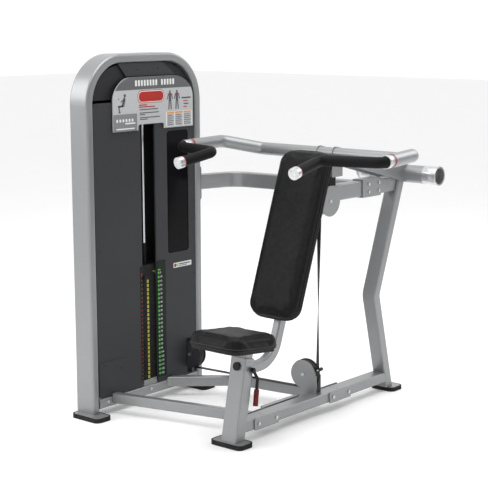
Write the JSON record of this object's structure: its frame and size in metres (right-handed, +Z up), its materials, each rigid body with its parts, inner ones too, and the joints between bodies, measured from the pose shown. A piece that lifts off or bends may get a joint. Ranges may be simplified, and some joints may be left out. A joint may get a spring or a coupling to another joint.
{
  "type": "shoulder press machine",
  "caption": "Selectorised shoulder press machine with padded seat and leaning back pad, overhead press arm with angled grips, belt drive and a shrouded weight tower.",
  "frame": {"origin": "on the floor, under the middle of the whole machine's bounding box", "axes": "+Z up, -Y the way the seated user faces, -X towards the weight tower on the user's right"},
  "size_m": [1.4686, 1.507, 1.7],
  "materials": {
    "frame_paint": "satin silver grey powder coat",
    "shroud_paint": "satin charcoal powder coat",
    "black_rubber": "matte",
    "drive_rubber": "matte ribbed",
    "grip_rubber": "soft matte",
    "red_rubber": "matte",
    "pad_vinyl": "fine grained vinyl",
    "pad_board": "black stained plywood",
    "plate_iron": "satin black",
    "rod_chrome": "polished",
    "cap_aluminium": "satin machined",
    "bare_steel": "zinc plated",
    "pulley_plastic": "moulded nylon",
    "smoked_pane": "smoked acrylic",
    "board_print": "printed sheet",
    "label_print": "printed film",
    "ring_red": "gloss",
    "pin_black": "gloss"
  },
  "bodies": {
    "frame": {"rubber_feet": "black_rubber", "foot_plates": "frame_paint", "base_stubs": "frame_paint", "base_beam": "frame_paint", "splice_plates": "frame_paint", "frame_bolts": "bare_steel", "side_rail": "frame_paint", "front_floor_tube": "frame_paint", "rear_floor_tube": "frame_paint", "tower_arch": "frame_paint", "tower_sills": "frame_paint", "front_shroud": "shroud_paint", "rear_shroud": "shroud_paint", "shroud_window": "smoked_pane", "inner_shrouds": "shroud_paint", "placard": "board_print", "access_panel": "shroud_paint", "stack_labels": "label_print", "shroud_screws": "bare_steel", "weight_plates": "plate_iron", "guide_rods": "rod_chrome", "rubber_bumpers": "black_rubber", "seat_post": "frame_paint", "post_cap": "pin_black", "back_pad": "pad_vinyl", "back_board": "pad_board", "back_support_tube": "frame_paint", "rear_upright": "frame_paint", "upper_beam": "frame_paint", "link_tube": "frame_paint", "guide_bracket": "frame_paint", "floor_bracket": "frame_paint", "tower_brackets": "shroud_paint", "pulley_axles": "bare_steel", "drive_belt": "drive_rubber", "stack_belt": "drive_rubber", "arm_belt": "drive_rubber"},
    "lifted_stack": {"selected_plate": "plate_iron", "head_plate": "plate_iron", "selector_stem": "bare_steel"},
    "selector_pin": {"selector_pin": "pin_black"},
    "seat_carriage": {"seat_stem": "frame_paint", "seat_board": "pad_board", "seat_pad": "pad_vinyl"},
    "seat_lever": {"seat_lever": "shroud_paint", "lever_grips": "red_rubber"},
    "press_arm": {"arm_yoke": "frame_paint", "arm_plates": "frame_paint", "arm_hub": "frame_paint", "pivot_shaft": "bare_steel", "stop_bracket": "frame_paint", "handle_bars": "bare_steel", "grips": "grip_rubber", "grip_caps": "cap_aluminium", "grip_rings": "ring_red"},
    "floor_pulley": {"floor_pulley": "pulley_plastic"},
    "tower_pulley": {"tower_pulley": "pulley_plastic"},
    "top_pulley_rear": {"top_pulley_rear": "pulley_plastic"},
    "top_pulley_front": {"top_pulley_front": "pulley_plastic"},
    "guide_pulley": {"guide_pulley": "pulley_plastic"}
  },
  "joints": [
    {"name": "press_arm_swing", "type": "hinge", "parent": "frame", "child": "press_arm", "pos_m": [0.13372, 0.7095, 1.095], "axis": [-1, 0, 0], "range_deg": [0, 32], "deforming": ["arm_belt"]},
    {"name": "stack_lift", "type": "slide", "parent": "frame", "child": "lifted_stack", "axis": [0, 0, 1], "range_m": [0, 0.36], "deforming": ["stack_belt"]},
    {"name": "selector_pin_pull", "type": "slide", "parent": "lifted_stack", "child": "selector_pin", "axis": [1, 0, 0], "range_m": [0, 0.05]},
    {"name": "seat_height", "type": "slide", "parent": "frame", "child": "seat_carriage", "axis": [0, 0.1891, 0.982], "range_m": [0, 0.12]},
    {"name": "seat_lever_squeeze", "type": "hinge", "parent": "frame", "child": "seat_lever", "pos_m": [0.13372, -0.5005, 0.334], "axis": [-1, 0, 0], "range_deg": [0, 7], "stiffness_Nm_per_rad": 3, "springref_deg": -2.86},
    {"name": "floor_pulley_spin", "type": "hinge", "parent": "frame", "child": "floor_pulley", "pos_m": [0.06472, 0.0375, 0.1873], "axis": [-0.0928, 0.9957, 0], "range_deg": [-298.6, 0]},
    {"name": "tower_pulley_spin", "type": "hinge", "parent": "frame", "child": "tower_pulley", "pos_m": [-0.61128, -0.0255, 0.1873], "axis": [-0.0928, 0.9957, 0], "range_deg": [-298.6, 0]},
    {"name": "top_pulley_rear_spin", "type": "hinge", "parent": "frame", "child": "top_pulley_rear", "pos_m": [-0.67328, -0.0713, 1.545], "axis": [1, 0, 0], "range_deg": [-439.2, 0]},
    {"name": "top_pulley_front_spin", "type": "hinge", "parent": "frame", "child": "top_pulley_front", "pos_m": [-0.67328, -0.3047, 1.545], "axis": [1, 0, 0], "range_deg": [-439.2, 0]},
    {"name": "guide_pulley_spin", "type": "hinge", "parent": "frame", "child": "guide_pulley", "pos_m": [0.13372, 0.0945, 1.019], "axis": [1, 0, 0], "range_deg": [-421.1, 0]}
  ],
  "couplings": [
    {"joint": "stack_lift", "follows": "press_arm_swing", "m_per_rad": 0.62},
    {"joint": "floor_pulley_spin", "follows": "press_arm_swing", "ratio": -9.1445},
    {"joint": "tower_pulley_spin", "follows": "press_arm_swing", "ratio": -9.1445},
    {"joint": "top_pulley_rear_spin", "follows": "press_arm_swing", "ratio": -13.537},
    {"joint": "top_pulley_front_spin", "follows": "press_arm_swing", "ratio": -13.537},
    {"joint": "guide_pulley_spin", "follows": "press_arm_swing", "ratio": -12.971}
  ]
}
